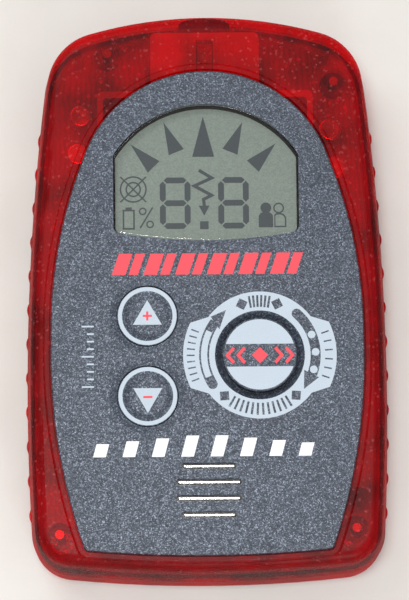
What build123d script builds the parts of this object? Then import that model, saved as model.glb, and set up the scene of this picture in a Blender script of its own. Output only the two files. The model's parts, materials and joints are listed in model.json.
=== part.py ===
from build123d import *
import math
import os

# Avalanche transceiver lying on its back, in millimetres.
# +Z out of the front face, +Y towards the harness-key end, +X to the right of the display.
# The origin is the centre of the back face. The plan below is drawn from a datum near the middle
# of the panel, and save() moves each piece to the origin.

os.makedirs("parts", exist_ok=True)

# ---- case ----
half_width = 34.7        # widest half width of the plain outline
top_y = 53.8             # harness-key end of the plain outline
foot_y = -55.45          # its other end
widest_y = -18.0         # where the outline is widest
side_radius = 493.0      # radius of the long sides
top_radius = 82.0        # radius of the harness-key end
bottom_radius = 255.0    # radius of the other end
top_corner = 12.0        # corner radii
bottom_corner = 8.0
split_z = 11.0           # parting plane of the two shells
face_z = 23.4            # front face
draft = 5.2              # lean of the front shell's walls, degrees
wall = 2.0
floor_t = 1.8            # rear shell floor
plate_z = 20.6           # inside of the front plate
rib_height = 0.32        # how far the grip ribs stand out
rib_radius = 2.4
rib_pitch = 6.66
rib_start = -42.5        # lowest rib of each side

# ---- front panel ----
ledge_z = 22.0           # seat of the panel in its recess
panel_gap = 0.3          # groove round the panel
rim_width = 1.15         # raised rim outside the groove
rim_height = 0.5
ink = 0.04               # thickness of a printed mark

# ---- window and display ----
window_half = 17.75
window_top = 35.3
window_bottom = 8.7
dome_radius = 20.9
window_sag = 1.7         # how far the bottom edge bows down
glass_z = 20.6           # top of the display glass
fan_at = (-0.45, 14.1)   # centre of the pointer fan

# ---- keys ----
plus_at = (-11.4, -5.8)
minus_at = (-11.4, -21.2)
mode_at = (9.95, -13.5)
small_key = 5.75         # radius of the plus and minus keys
mode_key_r = 7.1
key_gap = 0.15
key_base = 20.4          # underside of the keycaps
small_top = 23.05
mode_top = 24.0
post_end = 18.3          # foot of the posts under the keycaps

# ---- speaker ----
speaker_at = (0.1, -39.3)
slot_rows = [(4.66, 10.4), (1.61, 12.45), (-1.45, 12.45), (-4.61, 10.4)]
slot_width = 1.2

# ---- board and inner pieces ----
board_z = 13.4
board_top = 15.0
bosses = [(-18.9, 46.4), (24.9, 40.6), (28.1, -46.1), (-28.3, -47.0)]
boss_r = 2.15
locating_pins = [(-24.5, 45.6), (23.2, 46.2), (28.4, -40.4)]
rod_y = 28.0             # ferrite rod lying across
rod_x = 24.0             # ferrite rod lying lengthways
rod_z = 8.0
rod_r = 3.1

# ---- battery compartment ----
cell_r = 5.25
cell_z = 7.0
cell_x = 5.6
cell_y = -22.0           # middle of the cells
box_half_x = 12.6
box_half_y = 26.2
opening_half_x = 11.6
opening_half_y = 25.2
door_y = -17.85          # middle of the battery door
door_half_x = 14.2
door_half_y = 32.35
door_t = 1.6
pad_z = 3.2              # thicker floor round the door
screw_y = 9.5            # captive door screw

# ---- harness-key socket ----
socket_z = 12.0
rotor_r = 5.0
socket_r = 4.0
rotor_start = 40.1
rotor_end = 53.9
socket_depth = 12.0


def polar(radius, angle):
    return (radius * math.cos(math.radians(angle)), radius * math.sin(math.radians(angle)))


def side_x(y):
    return half_width - (y - widest_y) ** 2 / (2 * side_radius)


def at(point, z):
    """Level plane centred on a point of the plan."""
    return Plane(origin=(point[0], point[1], z))


def meet(near, far):
    """Crossing of two circles, each given as (x, y, radius), nearest to the X axis."""
    span = math.hypot(far[0] - near[0], far[1] - near[1])
    reach = (near[2] ** 2 - far[2] ** 2 + span**2) / (2 * span)
    rise = math.sqrt(near[2] ** 2 - reach**2)
    ux = (far[0] - near[0]) / span
    uy = (far[1] - near[1]) / span
    points = [
        (near[0] + ux * reach - uy * rise * turn, near[1] + uy * reach + ux * rise * turn)
        for turn in (-1, 1)
    ]
    return min(points, key=lambda point: abs(point[1]))


def case_outline(grow=0.0):
    """Plan outline of the case, grown or shrunk by an even amount."""
    side = (half_width - side_radius, widest_y, side_radius + grow)
    head = (0, top_y - top_radius, top_radius + grow)
    foot = (0, foot_y + bottom_radius, bottom_radius + grow)
    top = meet(side, head)
    low = meet(side, foot)
    mid = half_width + grow
    with BuildSketch(Plane.XY, mode=Mode.PRIVATE) as outline:
        with BuildLine():
            ThreePointArc(low, (mid, widest_y), top)
            ThreePointArc(top, (0, top_y + grow), (-top[0], top[1]))
            ThreePointArc((-top[0], top[1]), (-mid, widest_y), (-low[0], low[1]))
            ThreePointArc((-low[0], low[1]), (0, foot_y - grow), low)
        make_face()
        fillet(outline.vertices().sort_by(Axis.Y)[2:], radius=top_corner + grow)
        fillet(outline.vertices().sort_by(Axis.Y)[:2], radius=bottom_corner + grow)
    return outline.sketch


def panel_outline(grow=0.0):
    """Plan outline of the front panel: a round head, a soft waist and two crisp feet."""
    with BuildSketch(Plane.XY, mode=Mode.PRIVATE) as outline:
        with BuildLine():
            ThreePointArc((23.4, -50.6), (27.5, -35.9), (29.8, -9.5))
            ThreePointArc((29.8, -9.5), (27.86, 10.2), (23.5, 24.9))
            ThreePointArc((23.5, 24.9), (0, 41.9), (-23.5, 24.9))
            ThreePointArc((-23.5, 24.9), (-27.86, 10.2), (-29.8, -9.5))
            ThreePointArc((-29.8, -9.5), (-27.5, -35.9), (-23.4, -50.6))
            ThreePointArc((-23.4, -50.6), (0, -51.7), (23.4, -50.6))
        make_face()
        fillet(outline.vertices().sort_by(Axis.Y)[:2], radius=1.0)
        if grow:
            offset(amount=grow)
    return outline.sketch


def window_outline(grow=0.0):
    """Plan outline of the display window: a domed top over straight sides."""
    side_top = window_top - dome_radius + math.sqrt(dome_radius**2 - window_half**2)
    side_foot = window_bottom + window_sag
    with BuildSketch(Plane.XY, mode=Mode.PRIVATE) as outline:
        with BuildLine():
            Line((window_half, side_foot), (window_half, side_top))
            ThreePointArc((window_half, side_top), (0, window_top), (-window_half, side_top))
            Line((-window_half, side_top), (-window_half, side_foot))
            ThreePointArc((-window_half, side_foot), (0, window_bottom), (window_half, side_foot))
        make_face()
        fillet(outline.vertices(), radius=1.5)
        if grow:
            offset(amount=grow)
    return outline.sketch


def rounded_box(x, y, half_x, half_y, radius):
    with BuildSketch(Plane.XY, mode=Mode.PRIVATE) as outline:
        with Locations((x, y)):
            RectangleRounded(2 * half_x, 2 * half_y, radius)
    return outline.sketch


def arc_band(radius, width, start, end):
    """Part of a flat ring between two angles."""
    inner = radius - width / 2
    outer = radius + width / 2
    with BuildSketch(Plane.XY, mode=Mode.PRIVATE) as band:
        with BuildLine():
            CenterArc((0, 0), outer, start, end - start)
            Line(polar(outer, end), polar(inner, end))
            CenterArc((0, 0), inner, end, start - end)
            Line(polar(inner, start), polar(outer, start))
        make_face()
    return band.sketch


def save(part, name):
    """Write one piece, moved from the plan's datum to the middle of the case."""
    piece = part.moved(Location((0, -(rotor_end + foot_y) / 2, 0)))
    piece.label = name
    export_step(piece, "parts/" + name + ".step")


# ================= case shells =================
with BuildPart() as front_shell:
    with BuildSketch(Plane.XY.offset(split_z)):
        add(case_outline())
    extrude(amount=face_z - split_z, taper=draft)
    fillet(front_shell.faces().sort_by(Axis.Z)[-1].edges(), radius=2.5)
    with BuildSketch(Plane.XY.offset(face_z - 0.9)):
        add(panel_outline(panel_gap + rim_width))
    extrude(amount=rim_height + 0.9)
    fillet(front_shell.faces().sort_by(Axis.Z)[-1].edges(), radius=0.45)
    with BuildSketch(Plane.XY.offset(ledge_z)):
        add(panel_outline(panel_gap))
    extrude(amount=4, mode=Mode.SUBTRACT)
    # inside of the shell and the opening behind the panel
    with BuildSketch(Plane.XY.offset(split_z)):
        add(case_outline(-wall))
    extrude(amount=plate_z - split_z, taper=draft, mode=Mode.SUBTRACT)
    with BuildSketch(Plane.XY.offset(split_z)):
        add(panel_outline(-3.0))
    extrude(amount=15, mode=Mode.SUBTRACT)
    # screw bosses, locating pins and two stiffening ribs
    with BuildSketch(Plane.XY.offset(split_z)):
        with Locations(*bosses):
            Circle(boss_r)
    extrude(amount=plate_z - split_z + 0.5)
    with BuildSketch(Plane.XY.offset(split_z + 1)):
        with Locations(*locating_pins):
            Circle(1.0)
    extrude(amount=plate_z - split_z - 0.5)
    with BuildSketch(Plane.XY.offset(split_z)):
        with Locations(*bosses):
            Circle(0.85)
    extrude(amount=8.6, mode=Mode.SUBTRACT)
    # mouth of the harness-key socket
    with BuildSketch(Plane.XZ.offset(-top_y - 2)):
        with Locations((0, socket_z)):
            Circle(5.4)
    extrude(amount=4.8, mode=Mode.SUBTRACT)
    # raised transmit mark on the top margin: a dot and four arcs of even height each way
    with BuildSketch(at((-0.6, 46.95), face_z - 0.3)):
        Circle(0.55)
        for side in (0, 180):
            for step in range(4):
                reach = 1.6 + 1.4 * step
                spread = math.degrees(math.asin(1.3 / reach))
                add(arc_band(reach, 0.5, side - spread, side + spread))
    extrude(amount=0.6)
save(front_shell.part, "front_shell")

with BuildPart() as rear_shell:
    with BuildSketch(Plane.XY):
        add(case_outline())
    extrude(amount=split_z)
    fillet(rear_shell.faces().sort_by(Axis.Z)[0].edges(), radius=1.6)
    # round-backed grip ribs down both sides
    with BuildSketch(Plane.XY.offset(1.9)):
        for row in range(12):
            y = rib_start + rib_pitch * row
            x = side_x(y) + rib_height - rib_radius
            with Locations((x, y), (-x, y)):
                Circle(rib_radius)
    extrude(amount=split_z - 1.9)
    with BuildSketch(Plane.XY.offset(floor_t)):
        add(case_outline(-wall))
    extrude(amount=split_z, mode=Mode.SUBTRACT)
    # thicker floor round the battery door, and the door's seat
    with BuildSketch(Plane.XY):
        add(rounded_box(0, door_y, door_half_x + 2, door_half_y + 2, 5))
    extrude(amount=pad_z)
    with BuildSketch(Plane.XY):
        add(rounded_box(0, door_y, door_half_x + 0.3, door_half_y + 0.3, 3.3))
    extrude(amount=door_t, mode=Mode.SUBTRACT)
    with BuildSketch(Plane.XY):
        add(rounded_box(0, cell_y, opening_half_x, opening_half_y, 1))
    extrude(amount=pad_z, mode=Mode.SUBTRACT)
    with BuildSketch(Plane.XY):
        add(rounded_box(0, cell_y, 13.6, 27.2, 2.6))
        add(rounded_box(0, cell_y, 12.2, 25.8, 1.4), mode=Mode.SUBTRACT)
    extrude(amount=2.4, mode=Mode.SUBTRACT)
    # screw bosses with counterbored holes, and the post for the door screw
    with BuildSketch(Plane.XY.offset(1.2)):
        with Locations(*bosses):
            Circle(3.3)
    extrude(amount=split_z - 1.2)
    with BuildSketch(Plane.XY):
        with Locations(*bosses):
            Circle(2.5)
    extrude(amount=2.6, mode=Mode.SUBTRACT)
    with BuildSketch(Plane.XY):
        with Locations(*bosses):
            Circle(1.1)
    extrude(amount=split_z, mode=Mode.SUBTRACT)
    with BuildSketch(Plane.XY.offset(door_t)):
        with Locations((0, screw_y)):
            Circle(3.2)
            Circle(1.5, mode=Mode.SUBTRACT)
    extrude(amount=6.0)
    with BuildSketch(Plane.XY):
        with Locations((0, screw_y)):
            Circle(1.5)
    extrude(amount=7.6, mode=Mode.SUBTRACT)
    # groove of the case seal and the mouth of the socket
    with BuildSketch(Plane.XY.offset(split_z - 0.8)):
        add(case_outline(-0.6))
        add(case_outline(-1.4), mode=Mode.SUBTRACT)
    extrude(amount=2, mode=Mode.SUBTRACT)
    with BuildSketch(Plane.XZ.offset(-top_y - 2)):
        with Locations((0, socket_z)):
            Circle(5.4)
    extrude(amount=4.8, mode=Mode.SUBTRACT)
save(rear_shell.part, "rear_shell")

with BuildPart() as case_seal:
    with BuildSketch(Plane.XY.offset(split_z - 0.8)):
        add(case_outline(-0.65))
        add(case_outline(-1.35), mode=Mode.SUBTRACT)
        with Locations((0, top_y)):
            Rectangle(12, 8, mode=Mode.SUBTRACT)
    extrude(amount=0.8)
save(case_seal.part, "case_seal")

with BuildPart() as case_screws:
    with BuildSketch(Plane.XY.offset(0.5)):
        with Locations(*bosses):
            Circle(2.2)
    extrude(amount=2.1)
    with BuildSketch(Plane.XY.offset(2.6)):
        with Locations(*bosses):
            Circle(0.84)
    extrude(amount=16.4)
    with BuildSketch(Plane.XY.offset(0.5)):
        with Locations(*bosses):
            Rectangle(2.6, 0.6)
            Rectangle(0.6, 2.6)
    extrude(amount=1.2, mode=Mode.SUBTRACT)
save(case_screws.part, "case_screws")

# ================= front panel =================
with BuildPart() as front_panel:
    with BuildSketch(Plane.XY.offset(ledge_z)):
        add(panel_outline())
    extrude(amount=face_z - ledge_z)
    chamfer(front_panel.faces().sort_by(Axis.Z)[-1].edges(), length=0.2)
    with BuildSketch(Plane.XY.offset(ledge_z)):
        add(window_outline())
    extrude(amount=3, mode=Mode.SUBTRACT)
    # funnels that lead to the keys
    with Locations((plus_at[0], plus_at[1], face_z), (minus_at[0], minus_at[1], face_z)):
        Cone(small_key + key_gap, 7.2, 0.4, align=(Align.CENTER, Align.CENTER, Align.MAX),
             mode=Mode.SUBTRACT)
        Cylinder(small_key + key_gap, 8, mode=Mode.SUBTRACT)
    with Locations((mode_at[0], mode_at[1], face_z)):
        Cone(mode_key_r + key_gap, 8.5, 1.2, align=(Align.CENTER, Align.CENTER, Align.MAX),
             mode=Mode.SUBTRACT)
        Cylinder(mode_key_r + key_gap, 8, mode=Mode.SUBTRACT)
    with BuildSketch(at(speaker_at, ledge_z)):
        for row, length in slot_rows:
            with Locations((0, row)):
                SlotOverall(length, slot_width)
    extrude(amount=3, mode=Mode.SUBTRACT)
save(front_panel.part, "front_panel")

with BuildPart() as panel_adhesive:
    with BuildSketch(Plane.XY.offset(plate_z)):
        add(panel_outline(-3.0))
        add(panel_outline(-3.6), mode=Mode.SUBTRACT)
    extrude(amount=ledge_z - plate_z)
save(panel_adhesive.part, "panel_adhesive")

with BuildPart() as display_window:
    with BuildSketch(Plane.XY.offset(21.2)):
        add(window_outline(1.0))
    extrude(amount=ledge_z - 21.2)
    with BuildSketch(Plane.XY.offset(ledge_z - 0.2)):
        add(window_outline(-0.05))
    extrude(amount=1.5)
    fillet(display_window.faces().sort_by(Axis.Z)[-1].edges(), radius=0.3)
save(display_window.part, "display_window")

with BuildPart() as window_gasket:
    with BuildSketch(Plane.XY.offset(glass_z)):
        add(window_outline(1.0))
        add(window_outline(-0.35), mode=Mode.SUBTRACT)
    extrude(amount=21.2 - glass_z)
save(window_gasket.part, "window_gasket")

# ================= display =================
with BuildPart() as display_glass:
    with BuildSketch(Plane.XY.offset(19.2)):
        add(rounded_box(0, 22.3, 19.6, 14.9, 0.6))
    extrude(amount=glass_z - 19.2)
save(display_glass.part, "display_glass")

with BuildPart() as display_frame:
    with BuildSketch(Plane.XY.offset(board_top)):
        add(rounded_box(0, 22.8, 20.8, 15.8, 1))
    extrude(amount=20.4 - board_top)
    with BuildSketch(Plane.XY.offset(board_top)):
        add(rounded_box(0, 22.3, 18.2, 13.5, 1))
    extrude(amount=6, mode=Mode.SUBTRACT)
    with BuildSketch(Plane.XY.offset(19.2)):
        add(rounded_box(0, 22.3, 19.7, 15.0, 0.7))
    extrude(amount=3, mode=Mode.SUBTRACT)
save(display_frame.part, "display_frame")

with BuildPart() as display_connectors:
    with BuildSketch(Plane.XY.offset(board_top)):
        with Locations((0, 10.2), (0, 34.4)):
            Rectangle(30, 1.4)
    extrude(amount=19.2 - board_top)
save(display_connectors.part, "display_connectors")


def digit(x, y):
    """Seven-segment figure with all segments on, centred on x, y."""
    half_x = 2.38
    half_y = 2.23
    bar = 0.57
    for row in (-2, 0, 2):
        with Locations((x, y + row * half_y)):
            Polygon(
                (-half_x + 0.2, 0), (-half_x + 0.2 + bar, bar), (half_x - 0.2 - bar, bar),
                (half_x - 0.2, 0), (half_x - 0.2 - bar, -bar), (-half_x + 0.2 + bar, -bar),
                align=None,
            )
    for side in (-1, 1):
        for row in (-1, 1):
            with Locations((x + side * half_x, y + row * half_y)):
                Polygon(
                    (0, half_y - 0.2), (bar, half_y - 0.2 - bar), (bar, -half_y + 0.2 + bar),
                    (0, -half_y + 0.2), (-bar, -half_y + 0.2 + bar), (-bar, half_y - 0.2 - bar),
                    align=None,
                )


def ring(radius, width):
    Circle(radius)
    Circle(radius - width, mode=Mode.SUBTRACT)


with BuildPart() as display_segments:
    with BuildSketch(at(fan_at, glass_z)):
        # five pointers spread like a fan
        for angle, base, tip, half in (
            (0, 11.45, 19.4, 2.12), (22.6, 13.45, 19.75, 1.57), (-22.6, 13.45, 19.75, 1.57),
            (45, 13.5, 19.75, 1.6), (-45, 13.5, 19.75, 1.6),
        ):
            with Locations(Location((0, 0, 0), (0, 0, angle))):
                Polygon((-half, base), (half, base), (0, tip), align=None)
    extrude(amount=ink)
    with BuildSketch(Plane.XY.offset(glass_z)):
        digit(-5.9, 16.5)
        digit(5.3, 16.5)
        # bent pointer over a square point
        with BuildLine() as bolt:
            Polyline((-1.3, 22.9), (1.15, 21.4), (-2.2, 19.85), (1.1, 18.0), (-0.45, 17.2),
                     (-0.25, 15.4))
        trace(line_width=0.62)
        with Locations((-0.35, 14.95)):
            Polygon((-1.05, 1.05), (1.05, 1.05), (0, -0.95), align=None)
        with Locations((-0.35, 12.15)):
            Rectangle(1.65, 1.55)
    extrude(amount=ink)
    with BuildSketch(Plane.XY.offset(glass_z)):
        # aiming rings with a cross through them
        with Locations((-13.95, 19.25)):
            ring(2.6, 0.3)
    extrude(amount=ink)
    with BuildSketch(Plane.XY.offset(glass_z)):
        with Locations((-13.95, 19.25)):
            ring(1.5, 0.3)
            with Locations(Location((0, 0, 0), (0, 0, 45))):
                Rectangle(7.0, 0.28)
                Rectangle(0.28, 7.0)
    extrude(amount=ink)
    with BuildSketch(Plane.XY.offset(glass_z)):
        # cell, percent sign
        with Locations((-14.85, 13.35)):
            Rectangle(2.35, 3.9)
            Rectangle(1.7, 3.25, mode=Mode.SUBTRACT)
        with Locations((-14.85, 15.5)):
            Rectangle(1.2, 0.5)
        with Locations((-12.15, 14.95)):
            ring(0.75, 0.28)
        with Locations((-10.75, 12.4)):
            ring(0.75, 0.28)
        with Locations(Location((-11.45, 13.7, 0), (0, 0, -31))):
            Rectangle(0.3, 4.7)
    extrude(amount=ink)
    with BuildSketch(Plane.XY.offset(glass_z)):
        # one filled and one outlined person
        with Locations((13.95, 15.4)):
            ring(1.05, 0.28)
        with BuildLine():
            Line((13.1, 11.65), (15.4, 11.65))
            Line((15.4, 11.65), (15.4, 13.2))
            ThreePointArc((15.4, 13.2), (14.9, 14.2), (13.9, 14.4))
            ThreePointArc((13.9, 14.4), (13.4, 14.35), (13.1, 14.0))
            Line((13.1, 14.0), (13.1, 11.65))
        make_face()
        with BuildLine():
            Line((13.3, 11.93), (15.12, 11.93))
            Line((15.12, 11.93), (15.12, 13.1))
            ThreePointArc((15.12, 13.1), (14.7, 13.95), (13.9, 14.12))
            ThreePointArc((13.9, 14.12), (13.55, 14.08), (13.3, 13.8))
            Line((13.3, 13.8), (13.3, 11.93))
        make_face(mode=Mode.SUBTRACT)
        with Locations((11.5, 15.45)):
            Circle(1.04)
        with Locations((11.48, 13.12)):
            RectangleRounded(2.75, 2.95, 0.95)
        with Locations((11.48, 12.25)):
            Rectangle(2.75, 1.2)
    extrude(amount=ink)
save(display_segments.part, "display_segments")


# ================= keys =================
def small_keycap(point, name):
    with BuildPart() as cap:
        with BuildSketch(at(point, key_base)):
            Circle(6.5)
        extrude(amount=1.2)
        with BuildSketch(at(point, key_base)):
            Circle(small_key)
        extrude(amount=small_top - key_base)
        with BuildSketch(at(point, post_end)):
            Circle(1.7)
        extrude(amount=key_base - post_end)
        fillet(cap.edges().filter_by(GeomType.CIRCLE).sort_by(Axis.Z)[-1], radius=0.15)
        # finger dish with a level bottom
        with Locations((point[0], point[1], small_top)):
            Cone(3.5, 4.6, 0.5, align=(Align.CENTER, Align.CENTER, Align.MAX), mode=Mode.SUBTRACT)
        rims = cap.edges().filter_by(GeomType.CIRCLE)
        dish = rims.filter_by(lambda edge: 3.4 < edge.radius < 4.7)
        fillet(dish, radius=0.7)
    save(cap.part, name)
    return cap


plus_key = small_keycap(plus_at, "plus_key")
minus_key = small_keycap(minus_at, "minus_key")

with BuildPart() as mode_key:
    with BuildSketch(at(mode_at, key_base)):
        Circle(7.8)
    extrude(amount=1.2)
    with BuildSketch(at(mode_at, key_base)):
        Circle(mode_key_r)
    extrude(amount=mode_top - key_base)
    with BuildSketch(at(mode_at, post_end)):
        Circle(1.7)
    extrude(amount=key_base - post_end)
    fillet(mode_key.edges().filter_by(GeomType.CIRCLE).sort_by(Axis.Z)[-1], radius=0.3)
save(mode_key.part, "mode_key")


def key_rings(point, name, up):
    """Light ring and light triangle of a small key."""
    with BuildPart() as mark:
        with BuildSketch(at(point, small_top)):
            ring(5.58, 0.76)
        extrude(amount=ink)
        with BuildSketch(at(point, small_top - 0.5)):
            Polygon((-2.75, -1.6 * up), (2.75, -1.6 * up), (0, 3.15 * up), align=None)
            with Locations((0, 0.1 * up)):
                if up > 0:
                    Rectangle(1.75, 0.42, mode=Mode.SUBTRACT)
                    Rectangle(0.42, 1.75, mode=Mode.SUBTRACT)
                else:
                    Rectangle(1.75, 0.42, mode=Mode.SUBTRACT)
        extrude(amount=ink)
    save(mark.part, name)


key_rings(plus_at, "plus_key_print", 1)
key_rings(minus_at, "minus_key_print", -1)

with BuildPart() as plus_sign:
    with BuildSketch(at((plus_at[0], plus_at[1] + 0.1), small_top - 0.5)):
        Rectangle(1.75, 0.42)
        Rectangle(0.42, 1.75)
    extrude(amount=ink)
save(plus_sign.part, "plus_key_sign")

with BuildPart() as minus_sign:
    with BuildSketch(at((minus_at[0], minus_at[1] - 0.1), small_top - 0.5)):
        Rectangle(1.75, 0.42)
    extrude(amount=ink)
save(minus_sign.part, "minus_key_sign")

with BuildPart() as mode_key_print:
    with BuildSketch(at(mode_at, mode_top)):
        Circle(6.75)
        with Locations((0, -0.15)):
            Rectangle(15, 4.35, mode=Mode.SUBTRACT)
    extrude(amount=ink)
save(mode_key_print.part, "mode_key_print")

with BuildPart() as mode_key_sign:
    # diamond between two pairs of chevrons
    with BuildSketch(at((mode_at[0], mode_at[1] - 0.15), mode_top)):
        Rectangle(2.2, 2.2, rotation=45)
        for side in (-1, 1):
            for step in (0, 1):
                x = side * (2.9 + 2.05 * step)
                with BuildLine():
                    Polyline((x, 1.45), (x + 1.25 * side, 0), (x, -1.45))
                trace(line_width=0.6)
    extrude(amount=ink)
save(mode_key_sign.part, "mode_key_sign")


def switch_stem(point, name):
    with BuildPart() as stem:
        with BuildSketch(at(point, 16.2)):
            Circle(1.5)
        extrude(amount=post_end - 16.2)
    save(stem.part, name)


switch_stem(plus_at, "plus_switch_stem")
switch_stem(minus_at, "minus_switch_stem")
switch_stem(mode_at, "mode_switch_stem")

with BuildPart() as key_switches:
    with BuildSketch(Plane.XY.offset(board_top)):
        with Locations(plus_at, minus_at, mode_at):
            RectangleRounded(6.2, 6.2, 0.4)
    extrude(amount=2.0)
    with BuildSketch(Plane.XY.offset(board_top + 0.4)):
        with Locations(plus_at, minus_at, mode_at):
            Circle(1.8)
    extrude(amount=2, mode=Mode.SUBTRACT)
save(key_switches.part, "key_switches")

with BuildPart() as keypad_mat:
    with BuildSketch(Plane.XY.offset(board_top)):
        add(rounded_box(1.0, -12.8, 20.5, 15.7, 2))
    extrude(amount=19.5 - board_top)
    with BuildSketch(Plane.XY.offset(board_top)):
        add(rounded_box(1.0, -12.8, 19.3, 14.5, 1))
    extrude(amount=18.9 - board_top, mode=Mode.SUBTRACT)
    with BuildSketch(Plane.XY.offset(board_top)):
        with Locations(plus_at, minus_at, mode_at):
            Circle(2.1)
    extrude(amount=6, mode=Mode.SUBTRACT)
save(keypad_mat.part, "keypad_mat")

# ================= printed marks on the panel =================
with BuildPart() as panel_light_print:
    # label ring with two side lobes round the mode key
    with BuildSketch(at(mode_at, face_z)):
        Circle(12.2)
        for turn in (0, 180):
            with BuildLine():
                CenterArc((0, 0), 14.6, turn - 25.4, 50.8)
                Line(polar(14.6, turn + 25.4), polar(12.2, turn + 37))
                Line(polar(12.2, turn + 37), polar(12.2, turn - 37))
                Line(polar(12.2, turn - 37), polar(14.6, turn - 25.4))
            make_face()
        Circle(8.55, mode=Mode.SUBTRACT)
        # long arrow on the left, arrow with three dots on the right
        add(arc_band(10.6, 1.9, 143, 211.6), mode=Mode.SUBTRACT)
        add(arc_band(10.6, 1.9, -21, 48), mode=Mode.SUBTRACT)
        with Locations(polar(10.6, 211.6), polar(10.6, 48)):
            Circle(0.95, mode=Mode.SUBTRACT)
        with BuildLine():
            Polyline(polar(11.9, 141.5), polar(10.75, 126.4), polar(9.1, 147), polar(11.9, 141.5))
        make_face(mode=Mode.SUBTRACT)
        with BuildLine():
            Polyline(polar(12.0, -21.5), polar(10.6, -38.8), polar(8.9, -19.5), polar(12.0, -21.5))
        make_face(mode=Mode.SUBTRACT)
        add(arc_band(10.6, 1.2, 154.4, 202.9))
        with Locations(polar(10.6, 21.2), polar(10.6, 2.6), polar(10.6, -15.8)):
            Circle(0.73)
        # plain signs cut out of the ring: diamonds and bars
        for angle in (109, 71, 229, 311):
            with Locations(polar(10.35, angle)):
                Rectangle(1.7, 1.7, rotation=angle + 45, mode=Mode.SUBTRACT)
        with PolarLocations(10.35, 6, start_angle=100, angular_range=-20, endpoint=True):
            Rectangle(2.3, 0.42, mode=Mode.SUBTRACT)
        with PolarLocations(10.35, 12, start_angle=239, angular_range=62, endpoint=True):
            Rectangle(2.3, 0.42, mode=Mode.SUBTRACT)
        with PolarLocations(13.15, 9, start_angle=159, angular_range=42, endpoint=True):
            Rectangle(1.5, 0.28, mode=Mode.SUBTRACT)
        with PolarLocations(13.15, 6, start_angle=-19, angular_range=38, endpoint=True):
            Rectangle(1.5, 0.28, mode=Mode.SUBTRACT)
    extrude(amount=ink)
    # small scale up the left side: a long tick, then short ones
    with BuildSketch(at((-22.75, -13.6), face_z)):
        for row in range(9):
            length = 2.3 if row % 4 == 0 else 1.3
            with Locations((1.15 - length / 2, 1.45 * (row - 4))):
                Rectangle(length, 0.3)
    extrude(amount=ink)
save(panel_light_print.part, "panel_light_print")

with BuildPart() as panel_red_print:
    # row of six bold leaning blocks, each split by a thin slanting cut
    with BuildSketch(at((0.05, 4.15), face_z)):
        for row in range(6):
            with Locations((6.03 * (row - 2.5), 0)):
                Polygon((-3.1, -2.05), (-0.5, -2.05), (0.9, 2.05), (-1.7, 2.05), align=None)
                Polygon((0.1, -2.05), (1.9, -2.05), (3.3, 2.05), (1.5, 2.05), align=None)
    extrude(amount=ink)
save(panel_red_print.part, "panel_red_print")

with BuildPart() as panel_white_print:
    # eight leaning bars that step up from low to high and back
    with BuildSketch(at((-0.9, -30.85), face_z)):
        for row in range(8):
            tall = 2.5 + 0.5 * min(row, 7 - row)
            lean = 0.27 * tall
            with Locations((5.55 * (row - 3.5), -2.0)):
                Polygon((-1.5, 0), (0.9, 0), (0.9 + lean, tall), (-1.5 + lean, tall), align=None)
    extrude(amount=ink)
save(panel_white_print.part, "panel_white_print")

# ================= loudspeaker =================
with BuildPart() as speaker_grille:
    with BuildSketch(at(speaker_at, 21.4)):
        Circle(8.6)
    extrude(amount=ledge_z - 21.4)
    # four round-topped bars that stand up in the panel's slots
    with BuildSketch(at(speaker_at, ledge_z)):
        for row, length in slot_rows:
            with Locations((0, row)):
                SlotOverall(length - 0.5, slot_width - 0.5)
    extrude(amount=1.15)
    fillet(speaker_grille.faces().filter_by(Axis.Z).group_by(Axis.Z)[-1].edges(), radius=0.28)
save(speaker_grille.part, "speaker_grille")

with BuildPart() as acoustic_mesh:
    with BuildSketch(at(speaker_at, 21.25)):
        Circle(8.6)
    extrude(amount=0.15)
save(acoustic_mesh.part, "acoustic_mesh")

with BuildPart() as speaker_seal:
    with BuildSketch(at(speaker_at, 19.4)):
        ring(8.6, 0.9)
    extrude(amount=21.25 - 19.4)
save(speaker_seal.part, "speaker_seal")

with BuildPart() as speaker_basket:
    with BuildSketch(at(speaker_at, 17.2)):
        Circle(8.8)
    extrude(amount=19.4 - 17.2)
    with BuildSketch(at(speaker_at, board_top)):
        Circle(5.0)
    extrude(amount=17.2 - board_top)
    with BuildSketch(at(speaker_at, 18.0)):
        Circle(7.9)
    extrude(amount=2, mode=Mode.SUBTRACT)
save(speaker_basket.part, "speaker_basket")

with BuildPart() as speaker_cone:
    with BuildSketch(Plane(origin=(speaker_at[0], speaker_at[1], 18.0), x_dir=(1, 0, 0),
                           z_dir=(0, -1, 0))):
        with BuildLine():
            Polyline((0, 0.7), (2.4, 0.1), (6.2, 0.8), (7.6, 0.4), (7.6, 0.6), (6.2, 1.0),
                     (2.4, 0.35), (0, 0.95), (0, 0.7))
        make_face()
    revolve(axis=Axis((speaker_at[0], speaker_at[1], 0), (0, 0, 1)))
save(speaker_cone.part, "speaker_cone")

# ================= circuit board =================
with BuildPart() as main_board:
    with BuildSketch(Plane.XY.offset(board_z)):
        add(case_outline(-3.6))
        with Locations((0, -50)):
            Rectangle(80, 10, mode=Mode.SUBTRACT)
        with Locations((0, 47)):
            Rectangle(23, 25, mode=Mode.SUBTRACT)
        with Locations(*bosses, *locating_pins):
            Circle(2.6, mode=Mode.SUBTRACT)
    extrude(amount=board_top - board_z)
save(main_board.part, "main_board")

with BuildPart() as chips:
    # the processor, then the small ones
    with BuildSketch(Plane.XY.offset(board_top)):
        with Locations((-3, 23)):
            RectangleRounded(12, 12, 0.3)
        with Locations((-24, -30), (-24, 12), (9, 20), (9, 28), (25, 6)):
            Rectangle(4, 5)
    extrude(amount=1.5)
save(chips.part, "chips")

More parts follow.
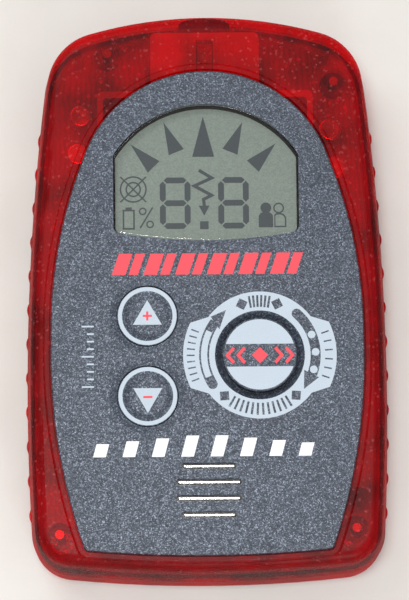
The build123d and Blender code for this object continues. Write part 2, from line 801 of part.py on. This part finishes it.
with BuildPart() as passives:
    with BuildSketch(Plane.XY.offset(board_top)):
        with GridLocations(3.1, 3.0, 2, 5):
            with Locations((-25, -10)):
                Rectangle(2.0, 1.2)
        with GridLocations(3.1, 3.0, 2, 4):
            with Locations((27, -10)):
                Rectangle(2.0, 1.2)
    extrude(amount=0.8)
save(passives.part, "passives")

with BuildPart() as capacitors:
    with BuildSketch(Plane.XY.offset(board_top)):
        with Locations((-24, 34), (-24.5, 26.5), (-21, -38), (24, 31), (25, 23.5)):
            Circle(2.3)
    extrude(amount=4.8)
    fillet(capacitors.faces().filter_by(Axis.Z).group_by(Axis.Z)[-1].edges(), radius=0.5)
save(capacitors.part, "capacitors")

with BuildPart() as crystal:
    with BuildSketch(Plane.XY.offset(board_top)):
        with Locations((-16, -39)):
            SlotOverall(9, 3.6, rotation=90)
    extrude(amount=3.4)
    fillet(crystal.faces().sort_by(Axis.Z)[-1].edges(), radius=0.5)
save(crystal.part, "crystal")

with BuildPart() as shield_can:
    with BuildSketch(Plane.XY.offset(board_top)):
        with Locations((18, -37)):
            RectangleRounded(13, 11, 0.6)
    extrude(amount=2.6)
    with BuildSketch(Plane.XY.offset(board_top)):
        with Locations((18, -37)):
            Rectangle(12.4, 10.4)
    extrude(amount=2.3, mode=Mode.SUBTRACT)
save(shield_can.part, "shield_can")

# ================= antennas =================
across = Plane(origin=(0, rod_y, rod_z), x_dir=(0, 1, 0), z_dir=(1, 0, 0))
along = Plane(origin=(rod_x, -16, rod_z), x_dir=(1, 0, 0), z_dir=(0, 1, 0))


def rod(plane, half, name):
    with BuildPart() as core:
        with BuildSketch(plane):
            Circle(rod_r)
        extrude(amount=half, both=True)
        chamfer(core.edges(), length=0.3)
    save(core.part, name)


def coil(plane, half, name):
    """Winding with a ridge for each band of turns."""
    with BuildPart() as winding:
        with BuildSketch(plane):
            ring(rod_r + 0.75, 0.75)
        extrude(amount=half, both=True)
        for step in range(9):
            with BuildSketch(plane.offset(-half + half * (step + 0.5) / 4.5)):
                ring(rod_r + 1.1, 1.1)
            extrude(amount=half / 6, both=True)
    save(winding.part, name)


rod(across, 23, "cross_antenna_rod")
rod(along, 25, "long_antenna_rod")
coil(across, 13, "cross_antenna_coil")
coil(along, 15, "long_antenna_coil")

with BuildPart() as rod_holders:
    with BuildSketch(Plane.XY.offset(floor_t)):
        with Locations((-19, rod_y), (19, rod_y)):
            Rectangle(3.5, 9)
        with Locations((rod_x, -37.5), (rod_x, 5.5)):
            Rectangle(9, 3.5)
    extrude(amount=board_z - floor_t)
    with BuildSketch(across):
        Circle(rod_r)
    extrude(amount=24, both=True, mode=Mode.SUBTRACT)
    with BuildSketch(along):
        Circle(rod_r)
    extrude(amount=26, both=True, mode=Mode.SUBTRACT)
save(rod_holders.part, "rod_holders")

with BuildPart() as antenna_leads:
    with BuildSketch(Plane.XY.offset(rod_z + rod_r + 1.1)):
        with Locations((-12.4, rod_y), (12.4, rod_y), (rod_x, -30.4), (rod_x, -1.6)):
            Circle(0.25)
    extrude(amount=board_z - rod_z - rod_r - 1.1)
save(antenna_leads.part, "antenna_leads")

# ================= battery compartment =================
with BuildPart() as battery_box:
    with BuildSketch(Plane.XY.offset(pad_z)):
        add(rounded_box(0, cell_y, box_half_x, box_half_y, 1.4))
    extrude(amount=board_z - pad_z)
    with BuildSketch(Plane.XY.offset(pad_z)):
        add(rounded_box(0, cell_y, opening_half_x, opening_half_y, 0.6))
    extrude(amount=12.6 - pad_z, mode=Mode.SUBTRACT)
save(battery_box.part, "battery_box")

with BuildPart() as cells:
    for x, turn in ((-cell_x, 1), (cell_x, -1)):
        with BuildSketch(Plane(origin=(x, cell_y + turn * 0.8, cell_z), x_dir=(1, 0, 0),
                               z_dir=(0, 1, 0))):
            Circle(5.1)
        extrude(amount=21.75, both=True)
    chamfer(cells.edges(), length=0.4)
    for x, turn in ((-cell_x, 1), (cell_x, -1)):
        with BuildSketch(Plane(origin=(x, cell_y + turn * 22.5, cell_z), x_dir=(1, 0, 0),
                               z_dir=(0, turn, 0))):
            Circle(1.9)
        extrude(amount=1.1)
save(cells.part, "cells")

with BuildPart() as cell_sleeves:
    for x, turn in ((-cell_x, 1), (cell_x, -1)):
        with BuildSketch(Plane(origin=(x, cell_y + turn * 0.8, cell_z), x_dir=(1, 0, 0),
                               z_dir=(0, 1, 0))):
            ring(5.25, 0.15)
        extrude(amount=20.9, both=True)
save(cell_sleeves.part, "cell_sleeves")

with BuildPart() as contact_plates:
    for x, turn in ((-cell_x, 1), (cell_x, -1)):
        for end in (turn, -turn):
            with BuildSketch(Plane(origin=(x, cell_y + end * opening_half_y, cell_z),
                                   x_dir=(1, 0, 0), z_dir=(0, -end, 0))):
                RectangleRounded(8.4, 8.4, 0.8)
            extrude(amount=0.4)
    for x, turn in ((-cell_x, 1), (cell_x, -1)):
        with BuildSketch(Plane(origin=(x, cell_y + turn * (opening_half_y - 0.4), cell_z),
                               x_dir=(1, 0, 0), z_dir=(0, -turn, 0))):
            Circle(2.4)
        extrude(amount=1.2)
save(contact_plates.part, "contact_plates")

with BuildPart() as contact_springs:
    for x, turn in ((-cell_x, 1), (cell_x, -1)):
        start = cell_y - turn * (opening_half_y - 0.75)
        with BuildLine():
            wire = Helix(pitch=0.95, height=2.6, radius=3.4, center=(x, start, cell_z),
                         direction=(0, turn, 0), cone_angle=-14)
        with BuildSketch(Plane(origin=wire @ 0, z_dir=wire % 0)):
            Circle(0.28)
        sweep(path=wire)
save(contact_springs.part, "contact_springs")

# ================= battery door =================
with BuildPart() as battery_door:
    with BuildSketch(Plane.XY):
        add(rounded_box(0, door_y, door_half_x, door_half_y, 3))
    extrude(amount=door_t)
    chamfer(battery_door.faces().sort_by(Axis.Z)[0].edges(), length=0.3)
    with BuildSketch(Plane.XY):
        with Locations((0, screw_y)):
            Circle(3.6)
    extrude(amount=1.0, mode=Mode.SUBTRACT)
    with BuildSketch(Plane.XY):
        with Locations((0, screw_y)):
            Circle(1.52)
    extrude(amount=door_t, mode=Mode.SUBTRACT)
    # finger grooves
    with BuildSketch(Plane.XY):
        with GridLocations(1, 2.2, 1, 5):
            with Locations((0, -38)):
                SlotOverall(16, 1.0)
    extrude(amount=0.5, mode=Mode.SUBTRACT)
save(battery_door.part, "battery_door")

with BuildPart() as door_seal:
    with BuildSketch(Plane.XY.offset(door_t)):
        add(rounded_box(0, cell_y, 13.4, 27.0, 2.4))
        add(rounded_box(0, cell_y, 12.4, 26.0, 1.6), mode=Mode.SUBTRACT)
    extrude(amount=0.65)
save(door_seal.part, "door_seal")

with BuildPart() as door_screw:
    with BuildSketch(Plane.XY.offset(0.1)):
        with Locations((0, screw_y)):
            Circle(3.4)
    extrude(amount=0.9)
    with BuildSketch(Plane.XY.offset(1.0)):
        with Locations((0, screw_y)):
            Circle(1.45)
    extrude(amount=6.0)
    with BuildSketch(Plane.XY.offset(0.1)):
        with Locations((0, screw_y)):
            Rectangle(8, 1.1)
    extrude(amount=0.6, mode=Mode.SUBTRACT)
save(door_screw.part, "door_screw")

# ================= harness-key socket =================
mouth = Plane(origin=(0, rotor_end, socket_z), x_dir=(-1, 0, 0), z_dir=(0, 1, 0))

with BuildPart() as socket_housing:
    with BuildSketch(Plane.XY.offset(4.5)):
        with Locations((0, 44.55)):
            RectangleRounded(21, 11.5, 1)
    extrude(amount=15.3)
    with BuildSketch(mouth.offset(-13.95)):
        Circle(rotor_r + 0.08)
    extrude(amount=14, mode=Mode.SUBTRACT)
    # slot of the detent spring
    with BuildSketch(Plane.XY.offset(socket_z)):
        with Locations((0, 45.1)):
            Rectangle(3.2, 7.4)
    extrude(amount=8, mode=Mode.SUBTRACT)
save(socket_housing.part, "socket_housing")

with BuildPart() as key_rotor:
    with BuildSketch(mouth.offset(rotor_start - rotor_end)):
        Circle(rotor_r)
    extrude(amount=rotor_end - rotor_start)
    chamfer(key_rotor.faces().sort_by(Axis.Y)[-1].edges(), length=0.3)
    with BuildSketch(mouth.offset(-socket_depth)):
        Circle(socket_r)
    extrude(amount=socket_depth, mode=Mode.SUBTRACT)
    # bayonet slots for the key's lugs
    with BuildSketch(mouth.offset(-4.0)):
        Rectangle(9.0, 1.4)
    extrude(amount=4.0, mode=Mode.SUBTRACT)
    # groove of the ring seal and pocket of the magnet
    with BuildSketch(mouth.offset(-3.0)):
        ring(rotor_r + 0.5, 0.95)
    extrude(amount=-1.2, mode=Mode.SUBTRACT)
    with BuildSketch(mouth.offset(rotor_start - rotor_end)):
        with Locations((2.6, 0)):
            Circle(1.2)
    extrude(amount=1.2, mode=Mode.SUBTRACT)
save(key_rotor.part, "key_rotor")

with BuildPart() as rotor_seal:
    with BuildSketch(mouth.offset(-3.05)):
        ring(rotor_r + 0.03, 0.48)
    extrude(amount=-1.1)
save(rotor_seal.part, "rotor_seal")

with BuildPart() as rotor_magnet:
    with BuildSketch(mouth.offset(rotor_start - rotor_end)):
        with Locations((2.6, 0)):
            Circle(1.2)
    extrude(amount=1.2)
save(rotor_magnet.part, "rotor_magnet")

with BuildPart() as detent_spring:
    with BuildSketch(Plane.XY.offset(socket_z + rotor_r + 0.15)):
        with Locations((0, 45.1)):
            Rectangle(3.0, 7.2)
    extrude(amount=0.3)
save(detent_spring.part, "detent_spring")

with BuildPart() as reed_switch:
    with BuildSketch(Plane(origin=(0, 36.9, 11.9), x_dir=(0, 1, 0), z_dir=(1, 0, 0))):
        Circle(1.1)
    extrude(amount=6, both=True)
    fillet(reed_switch.edges(), radius=0.7)
save(reed_switch.part, "reed_switch")
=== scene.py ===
import json
import math

import bpy
from mathutils import Matrix, Vector


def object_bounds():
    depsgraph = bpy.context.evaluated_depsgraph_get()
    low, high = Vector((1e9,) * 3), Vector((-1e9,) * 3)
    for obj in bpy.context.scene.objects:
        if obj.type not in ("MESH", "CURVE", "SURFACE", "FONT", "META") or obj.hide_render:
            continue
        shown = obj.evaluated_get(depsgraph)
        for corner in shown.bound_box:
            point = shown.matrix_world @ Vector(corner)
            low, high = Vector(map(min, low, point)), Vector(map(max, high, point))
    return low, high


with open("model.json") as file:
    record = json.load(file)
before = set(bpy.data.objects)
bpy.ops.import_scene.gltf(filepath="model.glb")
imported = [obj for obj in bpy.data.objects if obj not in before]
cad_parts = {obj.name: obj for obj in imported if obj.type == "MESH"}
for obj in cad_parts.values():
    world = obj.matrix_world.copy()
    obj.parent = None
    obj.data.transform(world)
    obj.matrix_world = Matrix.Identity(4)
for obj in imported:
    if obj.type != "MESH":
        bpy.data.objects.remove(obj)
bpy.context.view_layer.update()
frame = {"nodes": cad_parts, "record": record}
nodes = frame["nodes"]
scene = bpy.context.scene

# ---------- dimensions in metres, angles in degrees ----------
GRILLE_SHADE_TOP = 0.02205      # height where the painted shade on the speaker grille's base ends
GRILLE_BARS = 0.02235      # height where its bright bars begin
FLOOR_HALF = 1.2
WORLD_STRENGTH = 0.5
LAMP_TARGET = (0, 0, 0.01)
CAMERA_DISTANCE = 0.700
CAMERA_TILT = 9.5
CAMERA_YAW = -0.45
CAMERA_ROLL = -0.55
CAMERA_LENS = 216.9
AIM_OFFSET = (0.00006, 0.00001, 0.0)    # aim point, measured from the middle of the object
AIM_RIGHT = -0.000445                   # and then along the picture's sides
AIM_UP = -0.000194


# ---------- node helpers ----------
class Tree:
    """Short-hand for building one node material."""

    def __init__(self, name):
        self.material = bpy.data.materials.new(name)
        self.material.use_nodes = True
        self.tree = self.material.node_tree
        self.tree.nodes.clear()
        self.output = self.tree.nodes.new("ShaderNodeOutputMaterial")
        self.coords = self.add("ShaderNodeTexCoord").outputs["Object"]

    def add(self, kind, **settings):
        node = self.tree.nodes.new(kind)
        for key, value in settings.items():
            setattr(node, key, value)
        return node

    def link(self, source, target):
        self.tree.links.new(source, target)

    def feed(self, socket, value):
        if isinstance(value, bpy.types.NodeSocket):
            self.link(value, socket)
        elif isinstance(value, tuple) and len(value) == 3 and socket.type == "RGBA":
            socket.default_value = (*value, 1.0)
        else:
            socket.default_value = value

    def noise(self, scale, detail=3.0):
        node = self.add("ShaderNodeTexNoise")
        node.inputs["Scale"].default_value = scale
        node.inputs["Detail"].default_value = detail
        node.inputs["Roughness"].default_value = 0.5
        self.link(self.coords, node.inputs["Vector"])
        return node.outputs["Fac"]

    def cells(self, scale, output="Color"):
        node = self.add("ShaderNodeTexVoronoi", feature="F1")
        node.inputs["Scale"].default_value = scale
        self.link(self.coords, node.inputs["Vector"])
        return node.outputs[output]

    def wave(self, scale, direction="X", distortion=0.0):
        node = self.add("ShaderNodeTexWave", bands_direction=direction)
        node.inputs["Scale"].default_value = scale
        node.inputs["Distortion"].default_value = distortion
        self.link(self.coords, node.inputs["Vector"])
        return node.outputs["Fac"]

    def ramp(self, value, *stops):
        node = self.add("ShaderNodeValToRGB")
        ramp = node.color_ramp
        while len(ramp.elements) < len(stops):
            ramp.elements.new(0.5)
        for element, (place, colour) in zip(ramp.elements, stops):
            element.position = place
            element.color = (*colour, 1.0) if isinstance(colour, tuple) else (colour,) * 3 + (1.0,)
        self.link(value, node.inputs["Fac"])
        return node.outputs["Color"]

    def span(self, value, low, high, out_low=0.0, out_high=1.0):
        node = self.add("ShaderNodeMapRange")
        for key, number in (("From Min", low), ("From Max", high), ("To Min", out_low),
                            ("To Max", out_high)):
            node.inputs[key].default_value = number
        self.link(value, node.inputs["Value"])
        return node.outputs["Result"]

    def maths(self, operation, a, b):
        node = self.add("ShaderNodeMath", operation=operation)
        self.feed(node.inputs[0], a)
        self.feed(node.inputs[1], b)
        return node.outputs[0]

    def mix(self, fac, a, b, blend="MIX"):
        node = self.add("ShaderNodeMix", data_type="RGBA", blend_type=blend)
        self.feed(node.inputs["Factor"], fac)
        self.feed(node.inputs["A"], a)
        self.feed(node.inputs["B"], b)
        return node.outputs["Result"]

    def split(self, vector):
        node = self.add("ShaderNodeSeparateXYZ")
        self.link(vector, node.inputs[0])
        return node.outputs

    def bump(self, height, strength, distance):
        node = self.add("ShaderNodeBump")
        node.inputs["Strength"].default_value = strength
        node.inputs["Distance"].default_value = distance
        self.link(height, node.inputs["Height"])
        return node.outputs["Normal"]

    def surface(self, colour, rough=0.5, metal=0.0, normal=None, **more):
        node = self.add("ShaderNodeBsdfPrincipled")
        self.feed(node.inputs["Base Color"], colour)
        self.feed(node.inputs["Roughness"], rough)
        self.feed(node.inputs["Metallic"], metal)
        if normal is not None:
            self.link(normal, node.inputs["Normal"])
        for key, value in more.items():
            self.feed(node.inputs[key.replace("_", " ")], value)
        return node.outputs["BSDF"]

    def done(self, shader):
        self.link(shader, self.output.inputs["Surface"])
        return self.material


def shade(colour, factor):
    return tuple(channel * factor for channel in colour)


def linear(red, green, blue):
    """sRGB from 0 to 255 to linear light."""
    return tuple(
        c / 12.92 if c <= 0.04045 else ((c + 0.055) / 1.055) ** 2.4
        for c in (red / 255, green / 255, blue / 255)
    )


# ---------- materials ----------
def moulded(name, colour, rough=0.5, grain=2600.0, depth=0.00002, spread=0.12):
    """Moulded, sintered or painted surface: slow tone changes, fine grain in relief."""
    t = Tree(name)
    slow = t.noise(90.0, 2.0)
    fine = t.noise(grain, 3.0)
    tone = t.mix(t.span(slow, 0.3, 0.7), shade(colour, 1 - spread), shade(colour, 1 + spread))
    tone = t.mix(t.span(fine, 0.35, 0.65, 0.0, 0.25), tone, shade(colour, 1 - 2 * spread))
    roughness = t.span(fine, 0.3, 0.7, rough - 0.06, rough + 0.06)
    return t.done(t.surface(tone, roughness, 0.0, t.bump(fine, 0.4, depth)))


def red_shell():
    """Tinted see-through moulding: haze with painted glint specks and gloss over a clear red tint.
    """
    t = Tree("red_shell")
    cloud = t.noise(120.0, 3.0)
    fine = t.noise(3200.0, 2.0)
    # pale pink specks painted into the colour as sparkle: painted glints
    glint_specks = t.ramp(t.split(t.cells(2600.0))[0], (0.93, 0.0), (0.99, 1.0))
    haze = t.mix(t.span(cloud, 0.38, 0.62), linear(84, 8, 16), linear(176, 17, 30))
    haze = t.mix(t.maths("MULTIPLY", glint_specks, 0.5), haze, linear(236, 120, 122))
    normal = t.bump(fine, 0.35, 0.00003)
    body = t.surface(haze, t.span(fine, 0.3, 0.7, 0.3, 0.42), 0.0, normal, Specular_IOR_Level=0.35)
    clear = t.add("ShaderNodeBsdfTransparent")
    clear.inputs["Color"].default_value = (1.0, 0.035, 0.05, 1)
    join = t.add("ShaderNodeMixShader")
    t.link(t.span(cloud, 0.25, 0.75, 0.66, 0.76), join.inputs["Fac"])
    t.link(body, join.inputs[1])
    t.link(clear.outputs[0], join.inputs[2])
    return t.done(join.outputs[0])


def panel_grey():
    """Flake lacquer, with painted shade on the cut edges."""
    t = Tree("panel_grey")
    flakes = t.split(t.cells(4600.0))
    grains = t.split(t.cells(8600.0))
    mixed = t.maths("ADD", t.maths("MULTIPLY", flakes[0], 0.6), t.maths("MULTIPLY", grains[1], 0.4))
    tone = t.ramp(mixed, (0.15, linear(38, 45, 57)), (0.5, linear(60, 68, 81)),
                  (0.78, linear(92, 102, 118)), (0.93, linear(146, 158, 176)))
    slow = t.span(t.noise(70.0, 2.0), 0.3, 0.7, 0.94, 1.06)
    tone = t.mix(1.0, tone, slow, "MULTIPLY")
    # faces turned sideways (the cut edges) are painted dark grey: painted shade in the gaps round
    # the openings
    geometry = t.add("ShaderNodeNewGeometry")
    up = t.split(geometry.outputs["True Normal"])[2]
    edge_shade = t.span(up, 0.45, 0.15)
    tone = t.mix(edge_shade, tone, linear(34, 34, 40))
    normal = t.bump(mixed, 0.25, 0.00003)
    rough = t.span(mixed, 0.2, 0.9, 0.62, 0.36)
    return t.done(t.surface(tone, rough, 0.15, normal))


def ink(name, colour, rough=0.55):
    """Screen-printed ink with a faint grain."""
    t = Tree(name)
    grain = t.noise(5200.0, 2.0)
    blotch = t.noise(300.0, 2.0)
    tone = t.mix(t.span(grain, 0.3, 0.7), shade(colour, 0.93), shade(colour, 1.05))
    tone = t.mix(t.span(blotch, 0.35, 0.65, 0.0, 0.2), tone, shade(colour, 0.9))
    return t.done(t.surface(tone, rough, 0.0, t.bump(grain, 0.2, 0.00001)))


def clear_pane(name, tint):
    """Thin clear pane: it passes light straight through and mirrors at a slant."""
    t = Tree(name)
    clear = t.add("ShaderNodeBsdfTransparent")
    clear.inputs["Color"].default_value = (*tint, 1)
    mirror = t.add("ShaderNodeBsdfGlossy")
    mirror.inputs["Roughness"].default_value = 0.04
    smear = t.noise(160.0, 3.0)
    t.link(t.bump(smear, 0.15, 0.00002), mirror.inputs["Normal"])
    fresnel = t.add("ShaderNodeFresnel")
    fresnel.inputs["IOR"].default_value = 1.49
    join = t.add("ShaderNodeMixShader")
    t.link(fresnel.outputs[0], join.inputs["Fac"])
    t.link(clear.outputs[0], join.inputs[1])
    t.link(mirror.outputs[0], join.inputs[2])
    return t.done(join.outputs[0])


def display_pane():
    """Reflective display: grey-green with a fine speckle."""
    t = Tree("display_pane")
    speckle = t.split(t.cells(4200.0))[0]
    slow = t.noise(40.0, 1.0)
    tone = t.mix(t.span(speckle, 0.0, 1.0), linear(138, 148, 144), linear(160, 170, 166))
    tone = t.mix(t.span(slow, 0.3, 0.7, 0.0, 0.3), tone, linear(142, 152, 146))
    return t.done(t.surface(tone, 0.5))


def bright_metal(name, colour, rough=0.25, brush=900.0, direction="X"):
    t = Tree(name)
    lines = t.wave(brush, direction, 4.0)
    cloud = t.noise(500.0, 3.0)
    tone = t.mix(t.span(cloud, 0.3, 0.7), shade(colour, 0.9), shade(colour, 1.05))
    roughness = t.span(cloud, 0.3, 0.7, rough - 0.06, rough + 0.08)
    return t.done(t.surface(tone, roughness, 1.0, t.bump(lines, 0.15, 0.00001)))


def grille():
    """Polished bars over a base plate painted near-black as shade in the slot gaps."""
    t = Tree("bright_grille")
    bars = t.span(t.split(t.coords)[2], GRILLE_SHADE_TOP, GRILLE_BARS)
    cloud = t.noise(500.0, 3.0)
    shine = t.mix(t.span(cloud, 0.3, 0.7), (0.82, 0.80, 0.80), (0.95, 0.93, 0.93))
    # below the bars the grille is painted near-black and not metal: painted shade seen through the
    # slot gaps
    tone = t.mix(bars, (0.012, 0.011, 0.013), shine)
    return t.done(t.surface(tone, t.span(cloud, 0.3, 0.7, 0.18, 0.3), bars))


def board_amber():
    """Bare amber laminate with tracks and tinned pads."""
    t = Tree("board_amber")
    tracks = t.ramp(t.wave(300.0, "X", 6.0), (0.44, 0.0), (0.5, 1.0))
    pads = t.ramp(t.cells(520.0, "Distance"), (0.16, 1.0), (0.2, 0.0))
    tone = t.mix(tracks, (0.24, 0.12, 0.04), (0.36, 0.20, 0.07))
    tone = t.mix(pads, tone, (0.75, 0.72, 0.66))
    return t.done(t.surface(tone, 0.4, 0.0, t.bump(tracks, 0.3, 0.00003)))


def winding():
    """Enamelled wire laid turn by turn, with painted shade between the turns and painted highlight
    on them.
    """
    t = Tree("copper")
    turns = t.wave(1500.0, "X", 0.3)
    across = t.wave(1500.0, "Y", 0.3)
    both = t.maths("MAXIMUM", turns, across)
    # dark copper in the troughs and bright copper on the crests: painted shade and painted
    # highlight on the turns
    tone = t.mix(both, (0.20, 0.06, 0.02), (0.72, 0.30, 0.12))
    return t.done(t.surface(tone, 0.3, 0.8, t.bump(both, 0.5, 0.00005)))


def woven():
    t = Tree("mesh")
    weave = t.maths("MULTIPLY", t.wave(3000.0, "X"), t.wave(3000.0, "Y"))
    tone = t.mix(weave, (0.01, 0.01, 0.012), (0.07, 0.07, 0.08))
    return t.done(t.surface(tone, 0.6, 0.0, t.bump(weave, 0.6, 0.00004)))


looks = {
    "red_shell": red_shell(),
    "panel_grey": panel_grey(),
    "clear_window": clear_pane("clear_window", (0.97, 0.985, 0.97)),
    "display_pane": display_pane(),
    "display_ink": ink("display_ink", linear(44, 56, 70), 0.4),
    "light_ink": ink("light_ink", linear(186, 200, 214)),
    "red_ink": ink("red_ink", linear(236, 70, 84)),
    "white_ink": ink("white_ink", linear(244, 245, 250)),
    "black_rubber": moulded("black_rubber", (0.02, 0.02, 0.02), 0.7),
    "foam": moulded("foam", (0.02, 0.018, 0.018), 0.9, 1800.0, 0.0001),
    "mesh": woven(),
    "silicone": moulded("silicone", (0.22, 0.23, 0.25), 0.5),
    "adhesive": moulded("adhesive", (0.03, 0.03, 0.03), 0.6),
    "bright_grille": grille(),
    "white_plastic": moulded("white_plastic", (0.80, 0.78, 0.72), 0.45, 2000.0, 0.00002, 0.05),
    "black_plastic": moulded("black_plastic", (0.016, 0.016, 0.018), 0.45),
    "board_amber": board_amber(),
    "chip_black": moulded("chip_black", (0.022, 0.022, 0.024), 0.55, 3500.0),
    "ceramic": moulded("ceramic", (0.42, 0.30, 0.18), 0.5),
    "ferrite": moulded("ferrite", (0.03, 0.03, 0.032), 0.5, 1400.0, 0.00006),
    "copper": winding(),
    "tin": bright_metal("tin", (0.72, 0.72, 0.71), 0.3),
    "steel": bright_metal("steel", (0.66, 0.65, 0.64), 0.28, 700.0, "Y"),
    "cell_wrap": moulded("cell_wrap", (0.03, 0.05, 0.10), 0.25),
    "capacitor_can": bright_metal("capacitor_can", (0.85, 0.85, 0.85), 0.25),
    "reed_glass": clear_pane("reed_glass", (0.85, 0.95, 0.88)),
}

for entry in frame["record"]["subparts"]:
    data = nodes[entry["node"]].data
    data.materials.clear()
    data.materials.append(looks[entry["material_slot"]])

# ---------- floor ----------
low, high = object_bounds()
floor_corners = [(x * FLOOR_HALF, y * FLOOR_HALF, low[2])
                 for x, y in ((-1, -1), (1, -1), (1, 1), (-1, 1))]
floor_mesh = bpy.data.meshes.new("floor")
floor_mesh.from_pydata(floor_corners, [], [(0, 1, 2, 3)])
floor = bpy.data.objects.new("floor", floor_mesh)
scene.collection.objects.link(floor)
t = Tree("floor")
paper = t.noise(60.0, 4.0)
fibre = t.noise(1400.0, 2.0)
tone = t.mix(t.span(paper, 0.3, 0.7), linear(221, 219, 215), linear(227, 225, 221))
floor_mesh.materials.append(t.done(t.surface(tone, 0.7, 0.0, t.bump(fibre, 0.3, 0.0001))))

# ---------- light ----------
world = bpy.data.worlds.new("studio")
world.use_nodes = True
background = world.node_tree.nodes["Background"]
background.inputs["Color"].default_value = (1.0, 0.99, 0.975, 1)
background.inputs["Strength"].default_value = WORLD_STRENGTH
scene.world = world


def lamp(name, place, size, power, colour):
    """Round area light that faces the object."""
    data = bpy.data.lights.new(name, "AREA")
    data.shape = "DISK"
    data.size = size
    data.energy = power
    data.color = colour
    thing = bpy.data.objects.new(name, data)
    thing.location = place
    aim = Vector(LAMP_TARGET) - Vector(place)
    thing.rotation_euler = aim.to_track_quat("-Z", "Y").to_euler()
    scene.collection.objects.link(thing)


lamp("soft_window", (-0.35, 0.45, 0.75), 0.6, 2.6, (1.0, 0.985, 0.96))
lamp("camera_lamp", (-0.05, -0.06, 0.80), 0.14, 2.4, (1.0, 0.985, 0.965))
lamp("foot_fill", (0.12, -0.60, 0.40), 0.35, 1.6, (1.0, 0.99, 0.99))

# ---------- camera ----------
tilt = math.radians(CAMERA_TILT)
yaw = math.radians(CAMERA_YAW)
middle = (Vector(low) + Vector(high)) / 2
back = Vector((math.sin(yaw), -math.sin(tilt), 0.0))
back.z = math.sqrt(1 - back.x**2 - back.y**2)
right = Vector((0, 1, 0)).cross(back).normalized()
up = back.cross(right)
turn = Matrix.Rotation(math.radians(CAMERA_ROLL), 3, back)
right, up = turn @ right, turn @ up
aim = middle + Vector(AIM_OFFSET) + right * AIM_RIGHT + up * AIM_UP
camera_data = bpy.data.cameras.new("camera")
camera_data.lens = CAMERA_LENS
camera_data.clip_start = 0.01
camera = bpy.data.objects.new("camera", camera_data)
facing = Matrix((right, up, back)).transposed().to_4x4()
camera.matrix_world = Matrix.Translation(aim + back * CAMERA_DISTANCE) @ facing
scene.collection.objects.link(camera)
scene.camera = camera
scene.view_settings.view_transform = "Standard"
